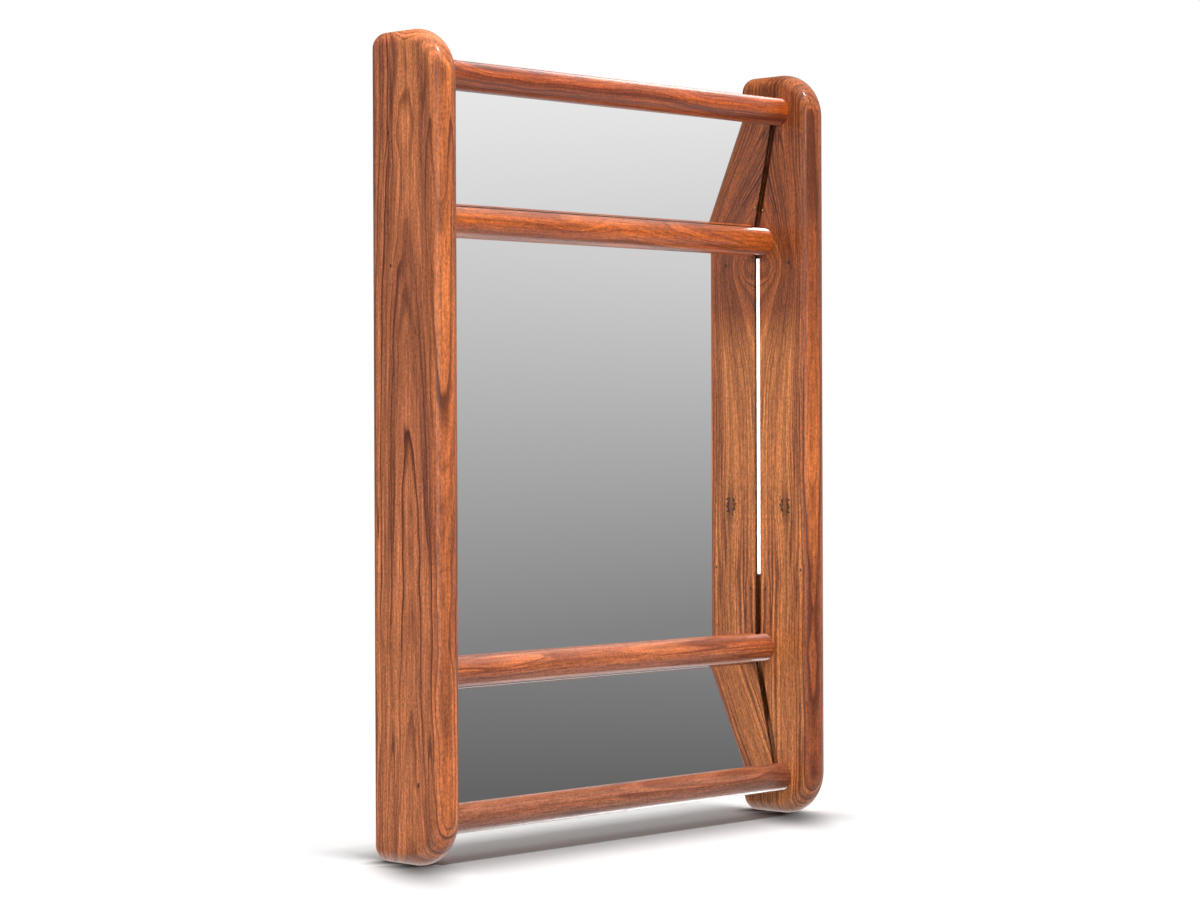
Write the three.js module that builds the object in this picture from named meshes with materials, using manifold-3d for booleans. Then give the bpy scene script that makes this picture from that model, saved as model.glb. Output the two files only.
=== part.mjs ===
// Shutter mirror: three mirror panes, folded like the slats of a half-closed shutter, held between
// two round-edged walnut boards that are joined by four round rails.
// Millimetres, +Z up, front towards -Y. The origin is on the floor, under the middle of the frame.

import * as THREE from 'three';
import { mergeVertices } from 'three/addons/utils/BufferGeometryUtils.js';
import Module from 'manifold-3d';

const wasm = await Module();
wasm.setup();

// ---- driving dimensions -------------------------------------------------------------------

const HEIGHT = 864;                // side boards, end to end
const OPENING = 556;               // clear width between the side boards
const CLEARANCE = 0.3;             // gap left between pieces that touch

const BOARD_THICKNESS = 31.8;      // 1 1/4 in stock
const BOARD_DEPTH = 110;
const BOARD_EDGE_RADIUS = 15;      // roundover along every edge of a board
const FRONT_CORNER_RADIUS = 52;
const BACK_CORNER_RADIUS = 17;

const RAIL_RADIUS = 15.9;          // 1 1/4 in round bar
const END_RAIL_INSET = 44;         // top and bottom rail axes from the boards' ends
const END_RAIL_SETBACK = 46.7;     // behind the front edge
const MIDDLE_RAIL_OFFSET = 238;    // upper and lower rail axes from mid-height
const MIDDLE_RAIL_SETBACK = 71.6;

const GLASS_SETBACK = 80.5;        // face of the middle pane behind the front edge
const FOLD_OFFSET = 255;           // folds between the panes, from mid-height
const FOLD_ANGLE = THREE.MathUtils.degToRad(12.3);
const SLOPING_PANE_LENGTH = 129;   // from the fold into the end rail's rebate
const GLASS_THICKNESS = 5;
const GLASS_ARRIS = 0.8;           // seamed edge round each pane
const BACKING_THICKNESS = 6;
const BACKING_LAP = 5;             // middle backing runs past each fold, so no light comes through
const SLOPING_BACKING_START = 8;   // from the fold, clear of that lap

const REBATE_DEPTH = 12;           // cut into each board's inner face, open to the back
const REBATE_LIP = 4.3;            // its front lip stands this far before the glass
const REBATE_END = 125;            // along a sloping pane, stops short of the end rail's dowel

const DOWEL_RADIUS = 8;
const DOWEL_LENGTH = 36;
const DOWEL_CHAMFER = 1.5;
const MIDDLE_DOWEL_FORWARD = 4.6;  // centred in what the flat leaves of a middle rail

const BEAD_THICKNESS = 13;
const BEAD_OVERLAP = 8;            // of the backing
const BEAD_CHAMFER = 4;
const SLOPING_BEAD = [9, 70];      // start and end from the fold
const UPPER_BEAD = [220, 252];     // start and end from mid-height
const LOWER_BEAD = [-252, -154];
const FELT_THICKNESS = 2;
const FELT_SETBACK = [1, 23];      // behind the glass face

const SCREW_HEAD_RADIUS = 3.6;
const SCREW_RADIUS = 1.9;
const BEAD_SCREW_LENGTH = 30;
const CLEAT_SCREW_LENGTH = 25;
const SCREW_TIP = 5;
const SCREW_CROSS = [1.1, 1.4];    // width and depth of the recess in the head
const PAN_HEAD_HEIGHT = 2.4;

const CLEAT_THICKNESS = 18;
const CLEAT_HEIGHT = 48;
const CLEAT_TOP = 808;
const CLEAT_RECESS = 0.5;          // back face in from the boards' back edges
const POCKET_ANGLE = THREE.MathUtils.degToRad(15);
const POCKET_RADIUS = 4.8;
const POCKET_STOP = 12;            // wood left between pocket and cleat end
const CLEAT_SCREW_INSETS = [11, 26];

const PIN_RADIUS = 1.2;
const PIN_LENGTH = 14;
const PIN_STANDS_OUT = 2.6;
const PIN_SEAT = [-6.2, 21.6];     // from the glass face and from the fold

// ---- derived places -----------------------------------------------------------------------

const MID_HEIGHT = HEIGHT / 2;
const FRONT_Y = -BOARD_DEPTH / 2;
const BACK_Y = BOARD_DEPTH / 2;
const INNER_X = OPENING / 2;
const OUTER_X = INNER_X + BOARD_THICKNESS;
const REBATE_X = INNER_X + REBATE_DEPTH;
const GLASS_Y = FRONT_Y + GLASS_SETBACK;
const BEAD_FRONT = GLASS_THICKNESS + BACKING_THICKNESS + 2 * CLEARANCE;
const BEAD_WIDTH = REBATE_DEPTH + BEAD_OVERLAP - CLEARANCE;

const LEFT = -1;
const RIGHT = 1;
const SIDES = [['left', LEFT], ['right', RIGHT]];

// ---- materials ----------------------------------------------------------------------------

const walnut = () => new THREE.MeshStandardMaterial({ color: 0xa0623f, roughness: 0.45, metalness: 0 });
const darkWalnut = () => new THREE.MeshStandardMaterial({ color: 0x7a4a30, roughness: 0.6, metalness: 0 });
const beech = () => new THREE.MeshStandardMaterial({ color: 0xd0a878, roughness: 0.6, metalness: 0 });
const silvered = () => new THREE.MeshStandardMaterial({ color: 0xdfe3e4, roughness: 0.03, metalness: 1 });
const hardboard = () => new THREE.MeshStandardMaterial({ color: 0x5c4332, roughness: 0.8, metalness: 0 });
const steel = () => new THREE.MeshStandardMaterial({ color: 0xb9bbbd, roughness: 0.35, metalness: 1 });
const brass = () => new THREE.MeshStandardMaterial({ color: 0xc9a55c, roughness: 0.3, metalness: 1 });
const felt = () => new THREE.MeshStandardMaterial({ color: 0xf2f0ea, roughness: 0.95, metalness: 0 });

// ---- solids: closed three.js geometries joined and cut as solids ---------------------------

function toSolid(geometry) {
  const bare = geometry.clone();
  bare.deleteAttribute('normal');
  bare.deleteAttribute('uv');
  const merged = mergeVertices(bare, 1e-4);
  return new wasm.Manifold(new wasm.Mesh({
    numProp: 3,
    vertProperties: Float32Array.from(merged.attributes.position.array),
    triVerts: Uint32Array.from(merged.index.array),
  }));
}

function toGeometry(solid) {
  const mesh = solid.getMesh();
  const geometry = new THREE.BufferGeometry();
  geometry.setAttribute('position', new THREE.BufferAttribute(mesh.vertProperties, 3));
  geometry.setIndex(new THREE.BufferAttribute(mesh.triVerts, 1));
  geometry.computeVertexNormals();
  return geometry;
}

function cut(geometry, cutters) {
  let solid = toSolid(geometry);
  for (const cutter of cutters) solid = solid.subtract(toSolid(cutter));
  return toGeometry(solid);
}

/** A mesh of one named piece. */
function piece(name, geometry, material) {
  const mesh = new THREE.Mesh(geometry, material);
  mesh.name = name;
  return mesh;
}

// ---- shapes that several pieces use --------------------------------------------------------

/** A bar along X between two x values, from an outline of [y, z] points or a Shape in (y, z). */
function extrudeAlongX(outline, x0, x1, options = {}) {
  const shape = outline instanceof THREE.Shape
    ? outline
    : new THREE.Shape(outline.map(([y, z]) => new THREE.Vector2(y, z)));
  const bevel = options.bevelThickness ?? 0;
  const geometry = new THREE.ExtrudeGeometry(shape, {
    depth: Math.abs(x1 - x0) - 2 * bevel,
    bevelEnabled: bevel > 0,
    ...options,
  });
  const basis = new THREE.Matrix4().makeBasis(
    new THREE.Vector3(0, 1, 0), new THREE.Vector3(0, 0, 1), new THREE.Vector3(1, 0, 0));
  return geometry.applyMatrix4(basis).translate(Math.min(x0, x1) + bevel, 0, 0);
}

/** A round bar along X between two x values, with its axis at (y, z). */
function roundAlongX(radius, x0, x1, y, z, segments = 24) {
  return new THREE.CylinderGeometry(radius, radius, Math.abs(x1 - x0), segments)
    .rotateZ(Math.PI / 2)
    .translate((x0 + x1) / 2, y, z);
}

/** A box between two corners. */
function block([x0, y0, z0], [x1, y1, z1]) {
  return new THREE.BoxGeometry(Math.abs(x1 - x0), Math.abs(y1 - y0), Math.abs(z1 - z0))
    .translate((x0 + x1) / 2, (y0 + y1) / 2, (z0 + z1) / 2);
}

/** A turned piece: profile of [radius, height] points, turned on Z, then laid along +X. */
function turnedAlongX(profile, segments) {
  const points = profile.map(([r, h]) => new THREE.Vector2(r, h));
  return new THREE.LatheGeometry(points, segments).rotateZ(-Math.PI / 2);
}

// ---- pane frames ---------------------------------------------------------------------------
// Each pane has its own frame: y runs back from the glass face, z runs up the glass. The middle
// frame stands at mid-height. The two sloping ones start at the folds and lean forward, away
// from mid-height, by the fold angle.

function paneFrame(up) {
  const frame = new THREE.Group();
  frame.position.set(0, GLASS_Y, MID_HEIGHT + up * FOLD_OFFSET);
  frame.rotation.x = up * FOLD_ANGLE;
  frame.updateMatrixWorld(true);
  return frame;
}

const middleFrame = paneFrame(0);
const topFrame = paneFrame(1);
const bottomFrame = paneFrame(-1);

/** The [y, z] point of the whole frame that lies behind the glass and along it, from the fold. */
function paneFramePoint(up, behind, along) {
  const frame = up > 0 ? topFrame : bottomFrame;
  const point = new THREE.Vector3(0, behind, up * along).applyMatrix4(frame.matrixWorld);
  return [point.y, point.z];
}

const MIDDLE_GLASS_END = FOLD_OFFSET - CLEARANCE;
const MIDDLE_BACKING_END = FOLD_OFFSET + BACKING_LAP;
const PANES = [
  {
    name: 'top', frame: topFrame,
    glass: [CLEARANCE, SLOPING_PANE_LENGTH], backing: [SLOPING_BACKING_START, SLOPING_PANE_LENGTH],
  },
  {
    name: 'middle', frame: middleFrame,
    glass: [-MIDDLE_GLASS_END, MIDDLE_GLASS_END], backing: [-MIDDLE_BACKING_END, MIDDLE_BACKING_END],
  },
  {
    name: 'bottom', frame: bottomFrame,
    glass: [-SLOPING_PANE_LENGTH, -CLEARANCE], backing: [-SLOPING_PANE_LENGTH, -SLOPING_BACKING_START],
  },
];

const BEADS = [
  { name: 'top', frame: topFrame, from: SLOPING_BEAD[0], to: SLOPING_BEAD[1], screws: [16, 60] },
  { name: 'middle_upper', frame: middleFrame, from: UPPER_BEAD[0], to: UPPER_BEAD[1], screws: [236] },
  { name: 'middle_lower', frame: middleFrame, from: LOWER_BEAD[0], to: LOWER_BEAD[1], screws: [-242, -168] },
  { name: 'bottom', frame: bottomFrame, from: -SLOPING_BEAD[1], to: -SLOPING_BEAD[0], screws: [-60, -16] },
];
const BEAD_SCREW_Y = BEAD_FRONT + BEAD_THICKNESS / 2;

// ---- side boards ---------------------------------------------------------------------------

/** Side view of a board: large rounds at the front corners, small ones at the back. */
function boardOutline() {
  const quarter = Math.PI / 2;
  const shape = new THREE.Shape();
  const front = FRONT_CORNER_RADIUS;
  const back = BACK_CORNER_RADIUS;
  shape.absarc(FRONT_Y + front, front, front, 2 * quarter, 3 * quarter);
  shape.absarc(BACK_Y - back, back, back, 3 * quarter, 4 * quarter);
  shape.absarc(BACK_Y - back, HEIGHT - back, back, 0, quarter);
  shape.absarc(FRONT_Y + front, HEIGHT - front, front, quarter, 2 * quarter);
  return shape;
}

/** The rebate follows the fold of the panes and runs out through the board's back edge. */
function rebateOutline() {
  const elbow = REBATE_LIP * Math.tan(FOLD_ANGLE / 2);
  const lip = [[-1, REBATE_END], [-1, elbow], [1, elbow], [1, REBATE_END]]
    .map(([up, along]) => paneFramePoint(up, -REBATE_LIP, along));
  const behindBoard = BACK_Y + 1;
  return [[behindBoard, lip[0][1]], ...lip, [behindBoard, lip[3][1]]];
}

/** Bores for the dowels, bead screws, cleat screws and pin of the right-hand board. */
function boardBores() {
  const dowelEnd = INNER_X + DOWEL_LENGTH / 2 + CLEARANCE;
  const dowels = RAILS.map(({ dowelY, z }) =>
    roundAlongX(DOWEL_RADIUS + CLEARANCE, INNER_X - 5, dowelEnd, dowelY, z));
  const beadScrewEnd = INNER_X - BEAD_OVERLAP + BEAD_SCREW_LENGTH + 2 * CLEARANCE;
  const beadScrews = BEADS.flatMap(({ frame, screws }) => screws.map((z) =>
    roundAlongX(SCREW_RADIUS + CLEARANCE, REBATE_X - 5, beadScrewEnd, BEAD_SCREW_Y, z, 12)
      .applyMatrix4(frame.matrixWorld)));
  const cleatScrews = CLEAT_SCREW_INSETS.map((inset) => pocketBore(SCREW_RADIUS + CLEARANCE,
    -POCKET_STOP, CLEAT_SCREW_LENGTH - POCKET_STOP + 2 * CLEARANCE, CLEAT_TOP - inset));
  const pin = roundAlongX(PIN_RADIUS + CLEARANCE, INNER_X - 5,
    INNER_X - PIN_STANDS_OUT + PIN_LENGTH + CLEARANCE, PIN_SEAT[0], PIN_SEAT[1], 12)
    .applyMatrix4(topFrame.matrixWorld);
  return [...dowels, ...beadScrews, ...cleatScrews, pin];
}

function sideBoard(name, side) {
  const blank = extrudeAlongX(boardOutline(), INNER_X, OUTER_X, {
    curveSegments: 6,
    bevelThickness: BOARD_EDGE_RADIUS,
    bevelSize: BOARD_EDGE_RADIUS,
    bevelOffset: -BOARD_EDGE_RADIUS,
    bevelSegments: 6,
  });
  const rebate = extrudeAlongX(rebateOutline(), INNER_X - 5, REBATE_X);
  const board = cut(blank, [rebate, ...boardBores()]);
  return piece(name, side === RIGHT ? board : mirroredInX(board), walnut());
}

/** The left-hand copy of a right-hand solid, with its faces still pointing out. */
function mirroredInX(geometry) {
  const copy = geometry.clone().scale(-1, 1, 1);
  const index = copy.index.array;
  for (let i = 0; i < index.length; i += 3) [index[i], index[i + 1]] = [index[i + 1], index[i]];
  copy.computeVertexNormals();
  return copy;
}

// ---- rails and their dowels ----------------------------------------------------------------

const END_RAIL_Y = FRONT_Y + END_RAIL_SETBACK;
const MIDDLE_RAIL_Y = FRONT_Y + MIDDLE_RAIL_SETBACK;
const MIDDLE_DOWEL_Y = MIDDLE_RAIL_Y - MIDDLE_DOWEL_FORWARD;
const RAILS = [
  { name: 'top_rail', up: 1, end: true, y: END_RAIL_Y, dowelY: END_RAIL_Y, z: HEIGHT - END_RAIL_INSET },
  { name: 'upper_rail', up: 1, end: false, y: MIDDLE_RAIL_Y, dowelY: MIDDLE_DOWEL_Y, z: MID_HEIGHT + MIDDLE_RAIL_OFFSET },
  { name: 'lower_rail', up: -1, end: false, y: MIDDLE_RAIL_Y, dowelY: MIDDLE_DOWEL_Y, z: MID_HEIGHT - MIDDLE_RAIL_OFFSET },
  { name: 'bottom_rail', up: -1, end: true, y: END_RAIL_Y, dowelY: END_RAIL_Y, z: END_RAIL_INSET },
];

/** An end rail is rebated for the far edge of a sloping pane and its backing. */
function endRailRebate(up) {
  const reach = SLOPING_PANE_LENGTH + CLEARANCE;
  const box = block([-OPENING, -CLEARANCE, 0], [OPENING, BOARD_DEPTH, up * reach]);
  return box.applyMatrix4((up > 0 ? topFrame : bottomFrame).matrixWorld);
}

/** A middle rail is planed flat where the middle pane stands against it. */
function middleRailFlat(z) {
  const face = GLASS_Y - CLEARANCE;
  return block([-OPENING, face, z - 2 * RAIL_RADIUS], [OPENING, face + 2 * RAIL_RADIUS, z + 2 * RAIL_RADIUS]);
}

function rail({ name, up, end, y, dowelY, z }) {
  const halfLength = INNER_X - CLEARANCE;
  const bar = roundAlongX(RAIL_RADIUS, -halfLength, halfLength, y, z, 56);
  const seat = end ? endRailRebate(up) : middleRailFlat(z);
  const boreEnd = INNER_X - DOWEL_LENGTH / 2 - CLEARANCE;
  const bores = SIDES.map(([, side]) =>
    roundAlongX(DOWEL_RADIUS + CLEARANCE, side * boreEnd, side * (INNER_X + 5), dowelY, z));
  return piece(name, cut(bar, [seat, ...bores]), walnut());
}

function railDowel(railName, [sideName, side], dowelY, z) {
  const profile = [
    [0, 0], [DOWEL_RADIUS - DOWEL_CHAMFER, 0], [DOWEL_RADIUS, DOWEL_CHAMFER],
    [DOWEL_RADIUS, DOWEL_LENGTH - DOWEL_CHAMFER], [DOWEL_RADIUS - DOWEL_CHAMFER, DOWEL_LENGTH],
    [0, DOWEL_LENGTH],
  ];
  const dowel = piece(`${railName}_${sideName}_dowel`, turnedAlongX(profile, 20), beech());
  dowel.position.set(side * INNER_X - DOWEL_LENGTH / 2, dowelY, z);
  return dowel;
}

// ---- panes: silvered glass on a backing panel ----------------------------------------------

function mirrorPane({ name, glass: [from, to] }) {
  const half = INNER_X - CLEARANCE;
  const outline = new THREE.Shape([
    new THREE.Vector2(-half, from), new THREE.Vector2(half, from),
    new THREE.Vector2(half, to), new THREE.Vector2(-half, to),
  ]);
  const glass = new THREE.ExtrudeGeometry(outline, {
    depth: GLASS_THICKNESS - 2 * GLASS_ARRIS,
    bevelThickness: GLASS_ARRIS,
    bevelSize: GLASS_ARRIS,
    bevelOffset: -GLASS_ARRIS,
    bevelSegments: 1,
  });
  glass.rotateX(Math.PI / 2).translate(0, GLASS_THICKNESS - GLASS_ARRIS, 0);
  return piece(`${name}_mirror`, glass, silvered());
}

function backingPanel({ name, backing: [from, to] }) {
  const half = INNER_X - CLEARANCE;
  const front = GLASS_THICKNESS + CLEARANCE;
  const panel = block([-half, front, from], [half, front + BACKING_THICKNESS, to]);
  return piece(`${name}_backing`, panel, hardboard());
}

// ---- beads that hold the panes in the rebates ----------------------------------------------

/** A bead's section, drawn for the right-hand board: chamfered where it meets the backing. */
function beadSection() {
  const inner = INNER_X - BEAD_OVERLAP;
  const outer = inner + BEAD_WIDTH;
  const back = BEAD_FRONT + BEAD_THICKNESS;
  return [[inner, BEAD_FRONT], [outer, BEAD_FRONT], [outer, back], [inner + BEAD_CHAMFER, back],
    [inner, back - BEAD_CHAMFER]];
}

function bead({ name, from, to, screws }, [sideName, side]) {
  const shape = new THREE.Shape(beadSection().map(([x, y]) => new THREE.Vector2(x, y)));
  const strip = new THREE.ExtrudeGeometry(shape, { depth: to - from, bevelEnabled: false })
    .translate(0, 0, from);
  const face = INNER_X - BEAD_OVERLAP;
  const seats = screws.flatMap((z) => [
    roundAlongX(SCREW_RADIUS + CLEARANCE, face - 5, REBATE_X + 5, BEAD_SCREW_Y, z, 12),
    countersink(face, BEAD_SCREW_Y, z),
  ]);
  const solid = cut(strip, seats);
  return piece(`${name}_${sideName}_bead`, side === RIGHT ? solid : mirroredInX(solid), darkWalnut());
}

function countersink(face, y, z) {
  const mouth = SCREW_HEAD_RADIUS + 2 * CLEARANCE;
  const bore = SCREW_RADIUS + CLEARANCE;
  const depth = mouth - bore;
  return turnedAlongX([[0, -1], [mouth + 1, -1], [bore, depth], [0, depth]], 12).translate(face, y, z);
}

const COUNTERSUNK_HEAD = [
  [0, 0], [SCREW_HEAD_RADIUS, 0], [SCREW_RADIUS, SCREW_HEAD_RADIUS - SCREW_RADIUS],
];
const PAN_HEAD = [
  [0, -PAN_HEAD_HEIGHT], [SCREW_HEAD_RADIUS - 1, -PAN_HEAD_HEIGHT], [SCREW_HEAD_RADIUS, 1 - PAN_HEAD_HEIGHT],
  [SCREW_HEAD_RADIUS, 0], [SCREW_RADIUS, 0],
];

/** A cross-headed wood screw along +X: its point lies at x = length, and the head round x = 0. */
function screwGeometry(head, length) {
  const profile = [...head, [SCREW_RADIUS, length - SCREW_TIP], [0, length]];
  const [width, depth] = SCREW_CROSS;
  const reach = SCREW_HEAD_RADIUS * 0.6;
  const top = head[0][1];
  const cross = [
    block([top - 1, -width / 2, -reach], [top + depth, width / 2, reach]),
    block([top - 1, -reach, -width / 2], [top + depth, reach, width / 2]),
  ];
  return cut(turnedAlongX(profile, 12), cross);
}

function beadScrews({ name, screws }, [sideName, side]) {
  return screws.map((z, i) => {
    const geometry = screwGeometry(COUNTERSUNK_HEAD, BEAD_SCREW_LENGTH);
    const screw = piece(`${name}_${sideName}_screw_${i + 1}`, geometry, steel());
    screw.rotation.z = side === RIGHT ? 0 : Math.PI;
    screw.position.set(side * (INNER_X - BEAD_OVERLAP + CLEARANCE), BEAD_SCREW_Y, z);
    return screw;
  });
}

/** Pale felt on the rebate's wall beside the middle pane, between the two beads. */
function feltStrip([sideName, side]) {
  const wall = side * (REBATE_X - CLEARANCE);
  const strip = block(
    [wall, FELT_SETBACK[0], LOWER_BEAD[1] + 1],
    [wall - side * FELT_THICKNESS, FELT_SETBACK[1], UPPER_BEAD[0] - 1]);
  return piece(`${sideName}_felt_strip`, strip, felt());
}

function brassPin([sideName, side]) {
  const half = PIN_RADIUS * 0.5;
  const profile = [
    [0, 0], [half, 0.2], [PIN_RADIUS, 0.8], [PIN_RADIUS, PIN_LENGTH - 2], [0, PIN_LENGTH],
  ];
  const pin = piece(`${sideName}_brass_pin`, turnedAlongX(profile, 12), brass());
  pin.rotation.z = side === RIGHT ? 0 : Math.PI;
  pin.position.set(side * (INNER_X - PIN_STANDS_OUT), PIN_SEAT[0], PIN_SEAT[1]);
  return pin;
}

// ---- hanging cleat -------------------------------------------------------------------------

const CLEAT_BACK_Y = BACK_Y - CLEAT_RECESS;
const CLEAT_END_X = REBATE_X - CLEARANCE;

/** A bore at the pocket angle through the right end of the cleat, by distance past that end. */
function pocketBore(radius, from, to, z) {
  return roundAlongX(radius, from, to, 0, 0, 12)
    .rotateZ(-POCKET_ANGLE)
    .translate(CLEAT_END_X, CLEAT_BACK_Y - CLEAT_THICKNESS / 2, z);
}

/** Hooked batten: its lower edge slopes up and forward, to drop over a cleat on the wall. */
function hangingCleat() {
  const front = CLEAT_BACK_Y - CLEAT_THICKNESS;
  const bottom = CLEAT_TOP - CLEAT_HEIGHT;
  const section = [
    [CLEAT_BACK_Y, bottom], [CLEAT_BACK_Y, CLEAT_TOP], [front, CLEAT_TOP], [front, bottom + CLEAT_THICKNESS],
  ];
  const batten = extrudeAlongX(section, -CLEAT_END_X, CLEAT_END_X);
  const rightCuts = CLEAT_SCREW_INSETS.flatMap((inset) => [
    pocketBore(POCKET_RADIUS, -60, -POCKET_STOP, CLEAT_TOP - inset),
    pocketBore(SCREW_RADIUS + CLEARANCE, -POCKET_STOP - 5, 10, CLEAT_TOP - inset),
  ]);
  const leftCuts = rightCuts.map((geometry) => mirroredInX(mergeVertices(geometry)));
  return piece('hanging_cleat', cut(batten, [...rightCuts, ...leftCuts]), darkWalnut());
}

function cleatScrews([sideName, side]) {
  return CLEAT_SCREW_INSETS.map((inset, i) => {
    const geometry = screwGeometry(PAN_HEAD, CLEAT_SCREW_LENGTH)
      .translate(-POCKET_STOP - CLEARANCE, 0, 0)
      .rotateZ(-POCKET_ANGLE)
      .translate(CLEAT_END_X, CLEAT_BACK_Y - CLEAT_THICKNESS / 2, CLEAT_TOP - inset);
    const solid = side === RIGHT ? geometry : mirroredInX(geometry);
    return piece(`cleat_${sideName}_screw_${i + 1}`, solid, steel());
  });
}

// ---- the assembly --------------------------------------------------------------------------

const mirror = new THREE.Group();
for (const [sideName, side] of SIDES) mirror.add(sideBoard(`${sideName}_side_board`, side));
for (const spec of RAILS) {
  mirror.add(rail(spec));
  for (const side of SIDES) mirror.add(railDowel(spec.name, side, spec.dowelY, spec.z));
}
for (const pane of PANES) pane.frame.add(mirrorPane(pane), backingPanel(pane));
for (const side of SIDES) {
  for (const spec of BEADS) spec.frame.add(bead(spec, side), ...beadScrews(spec, side));
  middleFrame.add(feltStrip(side));
  topFrame.add(brassPin(side));
}
mirror.add(topFrame, middleFrame, bottomFrame);
mirror.add(hangingCleat());
for (const side of SIDES) mirror.add(...cleatScrews(side));

export default mirror;
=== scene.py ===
import math

import bmesh
import bpy
from mathutils import Matrix, Vector


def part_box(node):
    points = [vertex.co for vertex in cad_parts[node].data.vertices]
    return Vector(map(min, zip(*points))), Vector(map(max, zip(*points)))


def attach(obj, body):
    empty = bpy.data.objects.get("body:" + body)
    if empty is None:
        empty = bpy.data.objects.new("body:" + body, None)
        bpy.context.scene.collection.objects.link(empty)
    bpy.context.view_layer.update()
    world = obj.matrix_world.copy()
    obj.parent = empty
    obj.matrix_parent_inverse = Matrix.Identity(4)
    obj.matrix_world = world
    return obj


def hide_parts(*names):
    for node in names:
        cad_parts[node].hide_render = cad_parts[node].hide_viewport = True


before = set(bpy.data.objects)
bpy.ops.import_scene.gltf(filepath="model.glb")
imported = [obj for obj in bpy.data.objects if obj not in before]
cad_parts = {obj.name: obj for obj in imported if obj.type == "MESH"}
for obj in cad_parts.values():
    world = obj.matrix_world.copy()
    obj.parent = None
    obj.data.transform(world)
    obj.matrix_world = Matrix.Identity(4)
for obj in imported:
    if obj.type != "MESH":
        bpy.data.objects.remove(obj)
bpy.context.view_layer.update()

# ---- side boards --------------------------------------------------------------------------
# Two walnut boards stand at the sides and carry everything. Each is sawn with large rounds at
# the front corners, rounded over with a router along every edge, then rebated for the panes.

BOARD_ROUNDOVER = 0.015
FRONT_CORNER = 0.052
BACK_CORNER = 0.017
CORNER_STEPS = 20
ROUNDOVER_STEPS = 12
REBATE_DEPTH = 0.012
REBATE_LIP = 0.0043          # the rebate's front wall stands this far before the glass
REBATE_END = 0.125           # along a sloping pane, from its fold
GLASS_Y = 0.0255             # face of the middle pane
FOLD_HEIGHTS = (0.177, 0.687)
FOLD_ANGLE = math.radians(12.3)
BORE_GAP = 0.0003

SIDES = (("left", -1), ("right", 1))


def new_piece(name, mesh_maker):
    """An object at the origin whose mesh is filled by mesh_maker(bm)."""
    bm = bmesh.new()
    mesh_maker(bm)
    bmesh.ops.recalc_face_normals(bm, faces=bm.faces)
    mesh = bpy.data.meshes.new(name)
    bm.to_mesh(mesh)
    bm.free()
    piece = bpy.data.objects.new(name, mesh)
    bpy.context.scene.collection.objects.link(piece)
    return piece


def add_prism(bm, outline, x0, x1):
    """A straight bar along X with an outline of (y, z) points."""
    ends = [[bm.verts.new((x, y, z)) for y, z in outline] for x in (x0, x1)]
    bm.faces.new(ends[0])
    bm.faces.new(reversed(ends[1]))
    for i in range(len(outline)):
        j = (i + 1) % len(outline)
        bm.faces.new((ends[0][i], ends[0][j], ends[1][j], ends[1][i]))


def circle(radius, y, z, steps):
    """Points of a circle in the (y, z) plane."""
    turn = 2 * math.pi / steps
    return [(y + radius * math.cos(i * turn), z + radius * math.sin(i * turn)) for i in range(steps)]


def carve(piece, cutter_maker):
    """Cuts the solids that cutter_maker(bm) adds out of the piece, for good."""
    cutter = new_piece(piece.name + "_cutter", cutter_maker)
    cut = piece.modifiers.new("cut", "BOOLEAN")
    cut.operation = "DIFFERENCE"
    cut.solver = "EXACT"
    cut.use_self = True
    cut.object = cutter
    bpy.context.view_layer.update()
    evaluated = piece.evaluated_get(bpy.context.evaluated_depsgraph_get())
    mesh = bpy.data.meshes.new_from_object(evaluated)
    piece.modifiers.clear()
    piece.data = mesh
    bpy.data.objects.remove(cutter)


def smooth(piece, sharp_angle=math.radians(35)):
    """Round faces shade round, flat faces stay flat, and edges past the angle stay crisp."""
    piece.data.shade_smooth()
    piece.data.set_sharp_from_angle(angle=sharp_angle)
    weighted = piece.modifiers.new("weighted normals", "WEIGHTED_NORMAL")
    weighted.keep_sharp = True


def board_outline(low, high, inset):
    """A board seen from the side, drawn in by the inset, as (y, z) points."""
    corners = (
        (low.y + FRONT_CORNER, low.z + FRONT_CORNER, FRONT_CORNER, 180),
        (high.y - BACK_CORNER, low.z + BACK_CORNER, BACK_CORNER, 270),
        (high.y - BACK_CORNER, high.z - BACK_CORNER, BACK_CORNER, 0),
        (low.y + FRONT_CORNER, high.z - FRONT_CORNER, FRONT_CORNER, 90),
    )
    points = []
    for y, z, radius, start in corners:
        for step in range(CORNER_STEPS + 1):
            angle = math.radians(start + 90 * step / CORNER_STEPS)
            reach = radius - inset
            points.append((y + reach * math.cos(angle), z + reach * math.sin(angle)))
    return points


def add_board(bm, low, high):
    """Rings of the outline step through the roundover of one face, over the edge, to the other."""
    quarter = [math.pi / 2 * step / ROUNDOVER_STEPS for step in range(ROUNDOVER_STEPS + 1)]
    stations = [(low.x + BOARD_ROUNDOVER * (1 - math.cos(a)), a) for a in quarter]
    stations += [(high.x - BOARD_ROUNDOVER * (1 - math.cos(a)), a) for a in reversed(quarter)]
    rings = []
    for x, angle in stations:
        inset = BOARD_ROUNDOVER * (1 - math.sin(angle))
        rings.append([bm.verts.new((x, y, z)) for y, z in board_outline(low, high, inset)])
    for ring, following in zip(rings, rings[1:]):
        for i in range(len(ring)):
            j = (i + 1) % len(ring)
            bm.faces.new((ring[i], ring[j], following[j], following[i]))
    bm.faces.new(rings[0])
    bm.faces.new(reversed(rings[-1]))


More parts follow.
